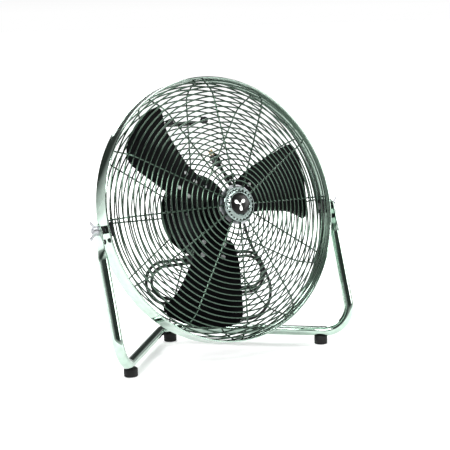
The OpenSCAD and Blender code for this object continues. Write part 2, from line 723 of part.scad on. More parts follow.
// Carry handle: a wire bail with a grip, clamped to the rear guard from inside.
handle_x = handle_w / 2;
handle_bend = 14;
handle_r = gap_r(rear_guard, norm([handle_x, handle_up]));
handle_y = sqrt(handle_r * handle_r - handle_x * handle_x);
pad_z = -ring_z(rear_guard, handle_r - half_gap) - wire_r - seat_clear;
clamp_z = wire_r + seat_clear - ring_z(rear_guard, handle_r + half_gap);
module handle_wire() {
  color("gainsboro") in_head() {
    for (side = [-1, 1]) {
      translate([side * handle_x, handle_y, pad_z - 2.5]) cylinder(r = 9, h = 2.5);
      translate([side * handle_x, handle_y, -handle_back + handle_bend])
        cylinder(r = 3, h = handle_back - handle_bend + pad_z - 1);
      translate([side * (handle_x - handle_bend), handle_y, -handle_back + handle_bend])
        mirror([side < 0 ? 1 : 0, 0, 0]) rotate([-90, 0, 0]) rotate_extrude(angle = 90)
          translate([handle_bend, 0]) circle(r = 3);
    }
    translate([-handle_x + handle_bend, handle_y, -handle_back]) rotate([0, 90, 0])
      cylinder(r = 3, h = handle_w - 2 * handle_bend);
  }
}

module handle_grip() {
  grip_l = handle_w - 2 * handle_bend - 1;
  color("#181818") in_head() translate([-grip_l / 2, handle_y, -handle_back]) rotate([0, 90, 0]) difference() {
    cylinder(r = grip_d / 2, h = grip_l);
    translate([0, 0, -1]) cylinder(r = 3 + seat_clear, h = grip_l + 2);
  }
}

module handle_clamps() {
  color("silver") in_head() for (side = [-1, 1]) translate([side * handle_x, handle_y, 0]) {
    translate([0, 0, clamp_z]) cylinder(r = 9, h = 2);
    translate([0, 0, pad_z + seat_clear]) cylinder(r = 2.5, h = clamp_z - pad_z);
  }
}

// Rotor: shaft, core, hub with three pitched arms, and the riveted blades.
module motor_shaft() {
  color("silver") in_head() translate([0, 0, shaft_rear]) cylinder(r = shaft_r, h = shaft_front - shaft_rear);
}

module rotor_core() {
  color("#8a8a8a") in_head() translate([0, 0, core_rear]) difference() {
    cylinder(r = core_bore - air_gap, h = core_front - core_rear);
    translate([0, 0, -1]) cylinder(r = shaft_r + seat_clear, h = core_front - core_rear + 2);
  }
}

rivets = [[84, -26], [84, 26], [116, -26], [116, 26]];
camber_drop = 5;
module at_blade(i) {
  in_head() rotate([0, 0, blade_start + i * 360 / blade_count]) translate([0, 0, rotor_z]) rotate([blade_pitch, 0, 0])
    children();
}

// A sheet curved about the blade's own length, with its inner face at the radius r from the curve's axis.
module curved_sheet(r, t, from_x, to_x) {
  translate([from_x, 0, camber_r - camber_drop]) rotate([0, 90, 0]) difference() {
    cylinder(r = r + t, h = to_x - from_x);
    translate([0, 0, -1]) cylinder(r = r, h = to_x - from_x + 2);
  }
}

module rivet_holes() {
  for (p = rivets) translate([p[0], p[1], -20]) cylinder(r = 3 + seat_clear, h = 40);
}

module blade(i) {
  corner = 34;
  half_tip = blade_tip_r * 0.4 - corner;
  color("#0f0f0f") at_blade(i) difference() {
    intersection() {
      curved_sheet(camber_r, blade_sheet, 40, blade_tip_r + 5);
      translate([0, 0, -30]) linear_extrude(height = 60) intersection() {
        circle(r = blade_tip_r);
        hull() {
          for (side = [-1, 1]) {
            translate([74, side * 40]) circle(r = 12);
            translate([blade_tip_r - corner - 6, side * half_tip]) circle(r = corner);
          }
        }
      }
    }
    rivet_holes();
  }
}
module blade_1() blade(0);
module blade_2() blade(1);
module blade_3() blade(2);

module blade_hub() {
  arm_t = 3;
  color("#1c1c1c") difference() {
    union() {
      in_head() translate([0, 0, rotor_z - hub_l / 2]) cylinder(r = hub_r, h = hub_l);
      for (i = [0 : blade_count - 1]) at_blade(i) difference() {
        intersection() {
          curved_sheet(camber_r + blade_sheet + seat_clear, arm_t, 20, 130);
          translate([20, -34, -30]) cube([108, 68, 60]);
        }
        rivet_holes();
      }
    }
    in_head() translate([0, 0, rotor_z - 30]) cylinder(r = shaft_r + seat_clear, h = 60);
    in_head() translate([0, 0, rotor_z + hub_l / 2 - 5]) rotate([0, 0, 75]) rotate([0, 90, 0])
      cylinder(r = 2.5 + seat_clear, h = hub_r + 5);
  }
}

module blade_rivets() {
  color("#444444") for (i = [0 : blade_count - 1]) at_blade(i) for (p = rivets) {
    sheet_z = camber_r - camber_drop - sqrt(camber_r * camber_r - p[1] * p[1]);
    translate([p[0], p[1], sheet_z + 0.5]) cylinder(r1 = 6, r2 = 4, h = 1.8);
    translate([p[0], p[1], sheet_z - 5]) cylinder(r = 3, h = 6);
    translate([p[0], p[1], sheet_z - 7]) cylinder(r1 = 4, r2 = 5, h = 1.4);
  }
}

module set_screw() {
  color("silver") in_head() translate([0, 0, rotor_z + hub_l / 2 - 5]) rotate([0, 0, 75]) rotate([0, 90, 0])
    translate([0, 0, shaft_r + 0.2]) cylinder(r = 2.5, h = hub_r - shaft_r);
}

frame_tube();
foot_front_left();
foot_front_right();
foot_rear();
foot_screws();
pivot_spacer_left();
pivot_spacer_right();
friction_pads();
rim_band();
front_guard_rings();
front_guard_ribs();
rear_guard_rings();
rear_guard_ribs();
front_hub_plate();
badge_dish();
badge_label();
pivot_block_left();
pivot_block_right();
pivot_bolt_left();
pivot_bolt_right();
motor_mount_plate();
mount_screws();
motor_shell();
motor_front_bell();
motor_rear_bell();
front_bearing();
rear_bearing();
stator_core();
stator_windings();
through_bolts();
capacitor();
switch_cover();
switch_body();
strain_relief();
cord_clip_left();
cord_clip_right();
cord_clip_upper();
cord_inlet();
cord_hank();
cord_lead();
plug_body();
plug_blades();
handle_wire();
handle_grip();
handle_clamps();
motor_shaft();
rotor_core();
blade_hub();
blade_1();
blade_2();
blade_3();
blade_rivets();
set_screw();
wing_nut_left();
wing_nut_right();
speed_knob();
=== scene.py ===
import json
import math

import bmesh
import bpy
import numpy as np
from bpy.props import FloatProperty, FloatVectorProperty, IntProperty, PointerProperty
from bpy.types import Operator, Panel, PropertyGroup
from mathutils import Matrix, Vector


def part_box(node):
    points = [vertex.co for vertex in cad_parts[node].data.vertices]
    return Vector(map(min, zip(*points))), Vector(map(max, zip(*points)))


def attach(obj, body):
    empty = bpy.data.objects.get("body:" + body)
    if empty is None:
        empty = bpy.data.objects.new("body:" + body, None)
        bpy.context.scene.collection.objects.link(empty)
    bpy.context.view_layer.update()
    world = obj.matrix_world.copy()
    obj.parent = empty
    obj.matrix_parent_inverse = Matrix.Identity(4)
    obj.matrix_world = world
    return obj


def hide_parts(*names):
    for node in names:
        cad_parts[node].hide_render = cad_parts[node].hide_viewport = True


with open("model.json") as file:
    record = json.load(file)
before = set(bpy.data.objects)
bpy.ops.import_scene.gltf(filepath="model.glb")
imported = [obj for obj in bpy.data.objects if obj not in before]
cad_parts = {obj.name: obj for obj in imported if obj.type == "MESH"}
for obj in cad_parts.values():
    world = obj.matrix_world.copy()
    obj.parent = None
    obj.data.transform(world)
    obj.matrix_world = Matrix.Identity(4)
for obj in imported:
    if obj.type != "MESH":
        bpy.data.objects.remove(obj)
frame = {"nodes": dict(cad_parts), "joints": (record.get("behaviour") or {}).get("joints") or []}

bl_info = {
    "name": "Floor fan",
    "version": (1, 0, 0),
    "blender": (4, 5, 0),
    "location": "View3D > Sidebar > Floor fan",
    "description": "Finishes the packed frame of a caged floor fan on a bent-tube stand",
    "category": "Object",
}

JOINT = {joint["name"]: joint for joint in frame["joints"]}
PIVOT = np.array(JOINT["head_tilt"]["pos_m"])
HUB = np.array(JOINT["rotor_spin"]["pos_m"])
FORWARD = np.array(JOINT["rotor_spin"]["axis"], float)
RIGHT = np.array([1.0, 0.0, 0.0])
UPWARD = np.cross(FORWARD, RIGHT)
CENTRE = PIVOT + UPWARD * ((HUB - PIVOT) @ UPWARD)
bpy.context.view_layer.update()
TAU = 2 * math.pi

# The camera: its place from the head's centre, where it looks, its roll and its lens.
CAMERA_PLACE = (-2.1107, -3.1462, 0.4906)
CAMERA_LOOK = (0.55506, 0.82019, -0.13856)
CAMERA_ROLL = math.radians(-1.19)
CAMERA_LENS, CAMERA_SENSOR = 123.48, 36

# Lamps: name, place, aim, width, height and power.
LAMPS = (
    ("key", (-2.6, -2.4, 3.0), (0, 0, 0.35), 2.2, 1.2, 190),
    ("fill", (3.2, -2.2, 1.6), (0, 0, 0.35), 2.4, 1.6, 70),
    ("back", (0.6, 3.2, 2.6), (0, 0, 0.4), 2.6, 1.2, 120),
    ("top", (0, 0, 4.2), (0, 0, 0), 3.0, 3.0, 150),
)
FLOOR_HALF = 60.0
FLAT_BLEND = 0.030


# ---------------------------------------------------------------- sizes and colours


class HeadSizes(PropertyGroup):
    """Sizes of the caged head."""

    rim_r: FloatProperty(name="Rim radius", description="Outer radius of the rim band", default=0.330, unit="LENGTH")
    rim_depth: FloatProperty(name="Rim depth", description="Depth of the rim band", default=0.050, unit="LENGTH")
    rim_sheet: FloatProperty(name="Rim sheet", description="Thickness of the rim band", default=0.0016, unit="LENGTH")
    bead_r: FloatProperty(name="Bead radius", description="Radius of the rolled edge beads",
        default=0.0024, unit="LENGTH")
    wire_r: FloatProperty(name="Ring wire radius", description="Radius of the ring wires",
        default=0.0020, unit="LENGTH")
    rib_r: FloatProperty(name="Rib radius", description="Radius of the rib wires", default=0.002, unit="LENGTH")
    rib_count: IntProperty(name="Ribs", description="Number of ribs in each guard", default=12)
    ring_pitch: FloatProperty(name="Ring pitch", description="Distance between ring wires",
        default=0.0135, unit="LENGTH")
    badge_r: FloatProperty(name="Badge radius", description="Outer radius of the chrome dish",
        default=0.0435, unit="LENGTH")
    label_r: FloatProperty(name="Label radius", description="Radius of the black label", default=0.026, unit="LENGTH")
    flutes: IntProperty(name="Badge flutes", description="Number of flutes pressed into the dish", default=24)


class RotorSizes(PropertyGroup):
    """Sizes of the blades."""

    sheet: FloatProperty(name="Blade sheet", description="Thickness of the blades", default=0.0016, unit="LENGTH")
    pitch: FloatProperty(name="Blade pitch", description="Pitch of the blades",
        default=math.radians(17), subtype="ANGLE")
    camber_r: FloatProperty(name="Camber radius", description="Radius of the blades' camber",
        default=0.5, unit="LENGTH")
    start: FloatProperty(name="First blade", description="Direction of the first blade",
        default=math.radians(15), subtype="ANGLE")
    plane: FloatProperty(name="Blade plane", description="Place of the blades along the axis",
        default=-0.008, unit="LENGTH")


class StandSizes(PropertyGroup):
    """Sizes of the bent-tube stand."""

    tube_r: FloatProperty(name="Tube radius", description="Radius of the stand's tube", default=0.0127, unit="LENGTH")
    leg_x: FloatProperty(name="Leg spread", description="Distance of each leg from the middle",
        default=0.345, unit="LENGTH")
    rise: FloatProperty(name="Pivot rise", description="Height of the pivots above the floor tube",
        default=0.320, unit="LENGTH")
    ahead: FloatProperty(name="Corner ahead", description="Front corners ahead of the pivots",
        default=0.095, unit="LENGTH")
    behind: FloatProperty(name="Corner behind", description="Rear corner behind the pivots",
        default=0.275, unit="LENGTH")
    bend_r: FloatProperty(name="Bend radius", description="Radius of the tube's bends", default=0.062, unit="LENGTH")
    flat_l: FloatProperty(name="Flat length", description="Length of each flattened end", default=0.06, unit="LENGTH")
    flat_w: FloatProperty(name="Flat width", description="Width of each flattened end", default=0.034, unit="LENGTH")
    flat_t: FloatProperty(name="Flat thickness", description="Thickness of each flattened end",
        default=0.004, unit="LENGTH")


class Finishes(PropertyGroup):
    """Colours of the main finishes."""

    chrome: FloatVectorProperty(name="Chrome", description="Tint of the plated steel",
        subtype="COLOR", default=(0.50, 0.63, 0.55))
    paint: FloatVectorProperty(name="Blade paint", description="Colour of the blades",
        subtype="COLOR", default=(0.0015, 0.0015, 0.0018))
    rubber: FloatVectorProperty(name="Rubber", description="Colour of feet, cord and grip",
        subtype="COLOR", default=(0.006, 0.006, 0.006))
    plastic: FloatVectorProperty(name="Plastic", description="Colour of the moulded pieces",
        subtype="COLOR", default=(0.008, 0.008, 0.009))
    floor: FloatVectorProperty(name="Floor", description="Colour of the floor",
        subtype="COLOR", default=(0.92, 0.92, 0.92))


class FanSettings(PropertyGroup):
    """Everything that the operators read."""

    head: PointerProperty(type=HeadSizes, name="Head", description="Sizes of the head")
    rotor: PointerProperty(type=RotorSizes, name="Rotor", description="Sizes of the rotor")
    stand: PointerProperty(type=StandSizes, name="Stand", description="Sizes of the stand")
    finish: PointerProperty(type=Finishes, name="Finishes", description="Colours")


def settings():
    return bpy.context.scene.floor_fan


# ---------------------------------------------------------------- surfaces


def in_head(points):
    """Points of the head's own frame carried to the frame: centre + x right + y up + z forward."""
    p = np.asarray(points, float)
    return CENTRE + p[..., :1] * RIGHT + p[..., 1:2] * UPWARD + p[..., 2:3] * FORWARD


def polar(r, angle, z):
    """Points at the radius r and the angle round the head's axis, at the depth z."""
    r, angle, z = np.broadcast_arrays(r, angle, z)
    return np.stack([r * np.cos(angle), r * np.sin(angle), z], axis=-1)


def turned(points, angle):
    """Head-frame points turned by the angle about the fan's axis."""
    c, s = math.cos(angle), math.sin(angle)
    return points @ np.array([[c, s, 0], [-s, c, 0], [0, 0, 1]])


def grid_faces(rows, columns, wrap_rows, wrap_columns):
    """Quads between neighbouring points of a rows by columns grid, closed round in either direction."""
    i = np.arange(rows if wrap_rows else rows - 1)
    j = np.arange(columns if wrap_columns else columns - 1)
    i, j = (a.ravel() for a in np.meshgrid(i, j, indexing="ij"))
    k, m = (i + 1) % rows, (j + 1) % columns
    return np.stack([i * columns + j, i * columns + m, k * columns + m, k * columns + j], axis=1)


def mesh_object(name, points, faces, smooth=True):
    """A mesh object at the origin from an array of points (..., 3) and a list of faces."""
    mesh = bpy.data.meshes.new(name)
    mesh.from_pydata(points.reshape(-1, 3).tolist(), [], faces)
    mesh.validate()
    mesh.polygons.foreach_set("use_smooth", np.full(len(mesh.polygons), smooth))
    mesh.update()
    piece = bpy.data.objects.new(name, mesh)
    bpy.context.scene.collection.objects.link(piece)
    return piece


def join_grids(name, grids, wrap_rows, wrap_columns, smooth=True):
    """One object from an array (count, rows, columns, 3) of like grids."""
    grids = np.asarray(grids, float)
    count, rows, columns = grids.shape[:3]
    one = grid_faces(rows, columns, wrap_rows, wrap_columns)
    faces = (one[None] + (np.arange(count) * rows * columns)[:, None, None]).reshape(-1, 4)
    return mesh_object(name, grids, faces.tolist(), smooth)


def merge_points(piece, distance=1e-6):
    """Joins doubled points at poles and seams and turns the faces outwards."""
    form = bmesh.new()
    form.from_mesh(piece.data)
    bmesh.ops.remove_doubles(form, verts=form.verts, dist=distance)
    bmesh.ops.dissolve_degenerate(form, edges=form.edges, dist=distance)
    bmesh.ops.recalc_face_normals(form, faces=form.faces)
    form.to_mesh(piece.data)
    form.free()
    piece.data.polygons.foreach_set("use_smooth", np.ones(len(piece.data.polygons), bool))
    return piece


def revolve(name, profile, segments=96, swell=None):
    """A closed outline of (radius, depth) carried round the fan's axis; swell(profile point, angle) adds a depth."""
    profile = np.asarray(profile, float)
    angle = np.arange(segments) / segments * TAU
    r = np.broadcast_to(profile[None, :, 0], (segments, len(profile)))
    z = np.broadcast_to(profile[None, :, 1], (segments, len(profile)))
    if swell is not None:
        z = z + swell(r, z, angle[:, None])
    return merge_points(join_grids(name, in_head(polar(r, angle[:, None], z))[None], True, True))


def along(path):
    """Unit directions of a path, by central differences."""
    d = np.gradient(np.asarray(path, float), axis=0)
    return d / np.linalg.norm(d, axis=1, keepdims=True)


def sweep_points(path, half_x, half_y, side, sides=16, power=2.0):
    """Rings round a path: half_x |cos|^(2/power) along the side vector and half_y |sin|^(2/power) across it."""
    path = np.asarray(path, float)
    d = along(path)
    side = np.broadcast_to(np.asarray(side, float), path.shape)
    u = side - d * np.sum(side * d, axis=1, keepdims=True)
    u /= np.linalg.norm(u, axis=1, keepdims=True)
    v = np.cross(d, u)
    a = np.arange(sides) / sides * TAU
    power = np.broadcast_to(power, len(path))[:, None]
    c = np.sign(np.cos(a)) * np.abs(np.cos(a)) ** (2 / power)
    s = np.sign(np.sin(a)) * np.abs(np.sin(a)) ** (2 / power)
    hx = np.broadcast_to(half_x, len(path))[:, None]
    hy = np.broadcast_to(half_y, len(path))[:, None]
    return path[:, None] + (hx * c)[..., None] * u[:, None] + (hy * s)[..., None] * v[:, None]


def rounded_ends(path, radius, steps=4):
    """A path lengthened at both ends by a quarter circle's worth of rings, with the radius of each ring."""
    path = np.asarray(path, float)
    radius = np.broadcast_to(radius, len(path)).astype(float)
    t = np.linspace(0, math.pi / 2, steps + 1)[1:]
    start, end = path[1] - path[0], path[-1] - path[-2]
    start, end = start / np.linalg.norm(start), end / np.linalg.norm(end)
    before = path[0] - start * radius[0] * np.sin(t)[::-1, None]
    after = path[-1] + end * radius[-1] * np.sin(t)[:, None]
    shrink = np.maximum(np.cos(t), 0.01)
    return np.vstack([before, path, after]), np.concatenate([shrink[::-1] * radius[0], radius, shrink * radius[-1]])


def capped(name, rings):
    """One swept tube, closed by a point at each end."""
    rows, sides = rings.shape[:2]
    centre = np.stack([rings[0].mean(0), rings[-1].mean(0)])
    faces = grid_faces(rows, sides, False, True)
    j = np.arange(sides)
    base = rows * sides
    low = np.stack([np.full(sides, base), (j + 1) % sides, j], axis=1)
    high = np.stack([np.full(sides, base + 1), base - sides + j, base - sides + (j + 1) % sides], axis=1)
    points = np.vstack([rings.reshape(-1, 3), centre])
    return merge_points(mesh_object(name, points, faces.tolist() + low.tolist() + high.tolist()))


def set_piece(piece, body, material, slot, *nodes):
    """Gives a piece its finish and its body, and lets it stand for CAD nodes."""
    piece.data.materials.clear()
    piece.data.materials.append(material)
    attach(piece, body)
    if nodes:
        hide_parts(*nodes)
    return piece


# ---------------------------------------------------------------- materials


def new_material(name, colour, metallic=0.0, roughness=0.5, coat=0.0):
    """A material with a Principled shader, and its shader and node tree."""
    material = bpy.data.materials.new(name)
    material.use_nodes = True
    tree = material.node_tree
    shader = tree.nodes["Principled BSDF"]
    shader.inputs["Base Color"].default_value = (*colour, 1)
    shader.inputs["Metallic"].default_value = metallic
    shader.inputs["Roughness"].default_value = roughness
    shader.inputs["Coat Weight"].default_value = coat
    shader.inputs["Coat Roughness"].default_value = 0.15
    return material, shader, tree


def noise(tree, scale, detail=3.0, stretch=(1, 1, 1)):
    """Noise on the piece's own coordinates, stretched along the axes."""
    place = tree.nodes.new("ShaderNodeTexCoord")
    mapping = tree.nodes.new("ShaderNodeMapping")
    mapping.inputs["Scale"].default_value = stretch
    texture = tree.nodes.new("ShaderNodeTexNoise")
    texture.inputs["Scale"].default_value = scale
    texture.inputs["Detail"].default_value = detail
    tree.links.new(place.outputs["Object"], mapping.inputs["Vector"])
    tree.links.new(mapping.outputs["Vector"], texture.inputs["Vector"])
    return texture.outputs["Fac"]


def ranged(tree, value, low, high, from_low=0.3, from_high=0.7):
    """A value carried from one range to another."""
    node = tree.nodes.new("ShaderNodeMapRange")
    node.inputs["From Min"].default_value = from_low
    node.inputs["From Max"].default_value = from_high
    node.inputs["To Min"].default_value = low
    node.inputs["To Max"].default_value = high
    tree.links.new(value, node.inputs["Value"])
    return node.outputs["Result"]


def two_colours(tree, value, shader, first, second):
    """Base colour between two colours."""
    mix = tree.nodes.new("ShaderNodeMix")
    mix.data_type = "RGBA"
    mix.inputs["A"].default_value = (*first, 1)
    mix.inputs["B"].default_value = (*second, 1)
    tree.links.new(value, mix.inputs["Factor"])
    tree.links.new(mix.outputs["Result"], shader.inputs["Base Color"])


def bump(tree, height, shader, strength, distance):
    """Bump from a height."""
    node = tree.nodes.new("ShaderNodeBump")
    node.inputs["Strength"].default_value = strength
    node.inputs["Distance"].default_value = distance
    tree.links.new(height, node.inputs["Height"])
    tree.links.new(node.outputs["Normal"], shader.inputs["Normal"])


def plated_steel(name, colour, low=0.06, high=0.2):
    """Bright plating: clouded gloss, a faint ripple under it and small dull spots."""
    material, shader, tree = new_material(name, colour, 1.0, 0.12)
    cloud = noise(tree, 14, 4)
    tree.links.new(ranged(tree, cloud, low, high), shader.inputs["Roughness"])
    darker = tuple(c * 0.82 for c in colour)
    two_colours(tree, ranged(tree, noise(tree, 60, 5), 0, 1), shader, darker, colour)
    bump(tree, noise(tree, 90, 2), shader, 0.06, 0.0004)
    return material


def sprayed_paint(name, colour, roughness=0.32):
    """Gloss paint on steel: orange peel, thin dust in the gloss and a clear top."""
    material, shader, tree = new_material(name, colour, 0.0, roughness, 0.015)
    shader.inputs["Specular IOR Level"].default_value = 0.04
    tree.links.new(ranged(tree, noise(tree, 22, 5), roughness - 0.08, roughness + 0.14), shader.inputs["Roughness"])
    lighter = tuple(c * 1.6 + 0.001 for c in colour)
    two_colours(tree, ranged(tree, noise(tree, 9, 6), 0, 1, 0.45, 0.75), shader, colour, lighter)
    bump(tree, noise(tree, 420, 2), shader, 0.12, 0.0003)
    return material


def moulded(name, colour, roughness=0.45, grain=900, depth=0.0002):
    """Moulded plastic or rubber: a fine grain and uneven sheen."""
    material, shader, tree = new_material(name, colour, 0.0, roughness)
    shader.inputs["Specular IOR Level"].default_value = 0.2
    tree.links.new(ranged(tree, noise(tree, 30, 3), roughness - 0.07, roughness + 0.1), shader.inputs["Roughness"])
    lighter = tuple(c * 1.7 + 0.003 for c in colour)
    two_colours(tree, ranged(tree, noise(tree, 55, 4), 0, 1), shader, colour, lighter)
    bump(tree, noise(tree, grain, 2), shader, 0.25, depth)
    return material


def zinc_plate(name, colour=(0.5, 0.51, 0.53)):
    """Zinc plating: matt with soft spangles."""
    material, shader, tree = new_material(name, colour, 1.0, 0.35)
    tree.links.new(ranged(tree, noise(tree, 160, 4), 0.25, 0.5), shader.inputs["Roughness"])
    two_colours(tree, ranged(tree, noise(tree, 240, 2), 0, 1), shader, tuple(c * 0.75 for c in colour), colour)
    return material


def wound(name, colour, axis_scale, metallic):
    """Fine turns or laminations: lines across the fan's axis."""
    material, shader, tree = new_material(name, colour, metallic, 0.4)
    place = tree.nodes.new("ShaderNodeTexCoord")
    dot = tree.nodes.new("ShaderNodeVectorMath")
    dot.operation = "DOT_PRODUCT"
    dot.inputs[1].default_value = tuple(FORWARD)
    wave = tree.nodes.new("ShaderNodeMath")
    wave.operation = "SINE"
    times = tree.nodes.new("ShaderNodeMath")
    times.operation = "MULTIPLY"
    times.inputs[1].default_value = axis_scale
    tree.links.new(place.outputs["Object"], dot.inputs[0])
    tree.links.new(dot.outputs["Value"], times.inputs[0])
    tree.links.new(times.outputs[0], wave.inputs[0])
    two_colours(tree, ranged(tree, wave.outputs[0], 0, 1, -1, 1), shader, tuple(c * 0.5 for c in colour), colour)
    bump(tree, wave.outputs[0], shader, 0.4, 0.0003)
    return material


def finishes():
    """Every material by name, made once."""
    made = {m.name: m for m in bpy.data.materials}
    if "chrome wire" in made:
        return made
    f = settings().finish
    chrome, paint, rubber, plastic = (tuple(c) for c in (f.chrome, f.paint, f.rubber, f.plastic))
    # The guard wires' chrome is painted at about a sixth of the rim chrome's brightness. This painted shade stands in
    # for the dark reflections on the thin wires.
    plated_steel("chrome wire", (0.075, 0.115, 0.088), 0.10, 0.26)
    plated_steel("chrome rim", chrome, 0.05, 0.16)
    plated_steel("chrome tube", tuple(c * 0.95 for c in chrome), 0.04, 0.14)
    plated_steel("chrome badge", (0.22, 0.27, 0.255), 0.03, 0.1)
    sprayed_paint("blade paint", paint)
    sprayed_paint("motor paint", (0.010, 0.010, 0.011), 0.4)
    moulded("black rubber", rubber, 0.55, 700, 0.0004)
    moulded("cord jacket", rubber, 0.42, 1200, 0.0001)
    moulded("black plastic", plastic, 0.38)
    moulded("label black", (0.004, 0.004, 0.004), 0.2, 1500, 0.00005)
    moulded("phenolic board", (0.16, 0.09, 0.05), 0.5)
    moulded("label white", (0.75, 0.77, 0.76), 0.4)
    zinc_plate("zinc plate")
    zinc_plate("ground shaft", (0.42, 0.43, 0.43))
    zinc_plate("brass blade", (0.34, 0.25, 0.11))
    wound("stacked laminations", (0.33, 0.33, 0.34), 6000, 1.0)
    wound("copper windings", (0.50, 0.20, 0.07), 9000, 1.0)
    return {m.name: m for m in bpy.data.materials}


# ---------------------------------------------------------------- guard outline


def guard_outline(wall_angle, dome_angle, wall_l, shoulder_r, hub_r):
    """A rib's middle line as a function of the distance s along it, with its length and its last slope:
    a straight wall, an arc of the shoulder, then a straight cone."""
    h = settings().head
    r0 = h.rim_r - h.rim_sheet - h.rib_r - 0.00005
    z0 = h.rim_depth / 2 - RIM_OVERLAP
    wall, dome = math.radians(wall_angle), math.radians(dome_angle)
    end = (r0 - wall_l * math.sin(wall), z0 + wall_l * math.cos(wall))
    centre = (end[0] - shoulder_r * math.cos(wall), end[1] - shoulder_r * math.sin(wall))
    start = (centre[0] + shoulder_r * math.cos(dome), centre[1] + shoulder_r * math.sin(dome))
    arc = shoulder_r * (dome - wall)
    total = wall_l + arc + (start[0] - hub_r) / math.sin(dome)

    def at(s):
        s = np.asarray(s, float)
        a = wall + (s - wall_l) / shoulder_r
        d = s - wall_l - arc
        on_wall, on_arc = s <= wall_l, s <= wall_l + arc
        r = np.where(on_arc, centre[0] + shoulder_r * np.cos(a), start[0] - d * math.sin(dome))
        z = np.where(on_arc, centre[1] + shoulder_r * np.sin(a), start[1] + d * math.cos(dome))
        r = np.where(on_wall, r0 - s * math.sin(wall), r)
        z = np.where(on_wall, z0 + s * math.cos(wall), z)
        n = np.where(on_wall, wall, np.where(on_arc, a, dome))
        return r, z, n

    return at, total, dome


# Guard outlines: angles of the wall and the dome in degrees, length of the wall, shoulder radius, radius at the hub.
FRONT = (45, 82, 0.033, 0.060, 0.050)
REAR = (25, 81, 0.035, 0.045, 0.105)
RIM_OVERLAP = 0.010
FIRST_RING = 0.014


def guard_rings(name, outline, facing):
    """Ring wires on the outside of the ribs: tori at even steps along the outline."""
    h = settings().head
    at, total, _ = guard_outline(*outline)
    s = FIRST_RING + np.arange(int((total - FIRST_RING) / h.ring_pitch) + 1) * h.ring_pitch
    r, z, n = at(s)
    lift = h.rib_r + h.wire_r
    r, z = r + lift * np.cos(n), z + lift * np.sin(n)
    around = np.arange(144) / 144 * TAU
    across = np.arange(8) / 8 * TAU
    ring_r = r[:, None, None] + h.wire_r * np.cos(across)
    ring_z = z[:, None, None] + h.wire_r * np.sin(across)
    points = polar(ring_r, around[None, :, None], facing * ring_z)
    piece = join_grids(name, in_head(points), True, True)
    return merge_points(piece)


def guard_ribs(name, outline, facing, inner):
    """Rib wires: round rods along the outline, each in its own plane through the axis."""
    h = settings().head
    at, total, dome = guard_outline(*outline)
    wall_l, hub_r = outline[2], outline[4]
    straight = total - 0.15
    end = total + (hub_r - inner) / math.sin(dome)
    s = np.concatenate([np.linspace(0, wall_l, 4), np.linspace(wall_l, straight, 14)[1:],
        np.linspace(straight, end, 6)[1:]])
    r, z, _ = at(s)
    path = np.stack([r, np.zeros_like(r), facing * z], axis=1)
    path, radius = rounded_ends(path, h.rib_r, 3)
    rings = sweep_points(path, radius, radius, (0, 1, 0), 10)
    turns = np.arange(h.rib_count) / h.rib_count * TAU
    grids = np.stack([in_head(turned(rings, a)) for a in turns])
    return merge_points(join_grids(name, grids, False, True))


# ---------------------------------------------------------------- cord route, in the head's frame, in millimetres

INLET_ROUTE = [(0, -94, -135), (0, -110, -136), (0, -130, -136), (3, -152, -136), (12, -174, -135.5),
    (28, -192, -134.5), (50, -203, -133.6), (76, -208, -133.2)]
COIL_CENTRE, COIL_RUN = (15, -158), 254
LEAD_ROUTE = [(-48, -220.4, -120), (-24, -222, -120), (2, -230, -121), (30, -244, -122), (60, -262, -123),
    (92, -275, -124), (125, -280, -125), (156, -274, -126), (184, -258, -127), (204, -232, -129),
    (212, -200, -132), (206, -166, -134), (192, -134, -134), (175, -102, -130), (160, -68, -124),
    (150, -32, -118), (144, 5, -113), (137, 38, -110), (126, 64, -109), (115, 86, -111), (104, 107, -111)]


def catmull_rom(p, steps):
    """Catmull-Rom curve: between b and c, with a before and d after,
    (2b + (c - a) t + (2a - 5b + 4c - d) t^2 + (3b - a - 3c + d) t^3) / 2, for so many values of t from 0."""
    a, b, c, d = (q[:, None] for q in (p[:-3], p[1:-2], p[2:-1], p[3:]))
    t = np.arange(steps)[:, None] / steps
    curve = 0.5 * (2 * b + (c - a) * t + (2 * a - 5 * b + 4 * c - d) * t**2 + (3 * b - a - 3 * c + d) * t**3)
    return curve.reshape(-1, p.shape[1])


def smooth_path(points, steps):
    """An open curve through the points, with so many steps between neighbours."""
    p = np.asarray(points, float)
    p = np.vstack([2 * p[0] - p[1], p, 2 * p[-1] - p[-2]])
    return np.vstack([catmull_rom(p, steps), p[-2:-1]])


def racetrack(centre, run, radius, z, start, turns, count):
    """Points on a race-track loop: two straights of length run and two half circles, from the arc length start."""
    lap = 2 * run + TAU * radius
    s = (start + np.linspace(0, turns, count) * lap) % lap
    a = (s - run) / radius
    b = (s - 2 * run - math.pi * radius) / radius
    parts = [s < run, s < run + math.pi * radius, s < 2 * run + math.pi * radius]
    x = np.select(parts, [s - run / 2, run / 2 + radius * np.sin(a), run / 2 - (s - run - math.pi * radius)],
        -run / 2 - radius * np.sin(b))
    y = np.select(parts, [-radius + 0 * s, -radius * np.cos(a), radius + 0 * s], radius * np.cos(b))
    return np.stack([centre[0] + x, centre[1] + y, np.broadcast_to(z, x.shape)], axis=1)


def cord_line():
    """The cord's whole middle line: down from the motor, round the tied coil and up the right side to the plug."""
    outer = racetrack(COIL_CENTRE, COIL_RUN, 52, np.linspace(-124.5, -123, 26), 200, 0.97, 26)
    inner = racetrack(COIL_CENTRE, COIL_RUN, 40, np.linspace(-117, -117.5, 21), 215, 0.71, 21)
    points = np.vstack([INLET_ROUTE, outer[1:], inner, LEAD_ROUTE])
    return smooth_path(points, 4) / 1000


# ---------------------------------------------------------------- operators


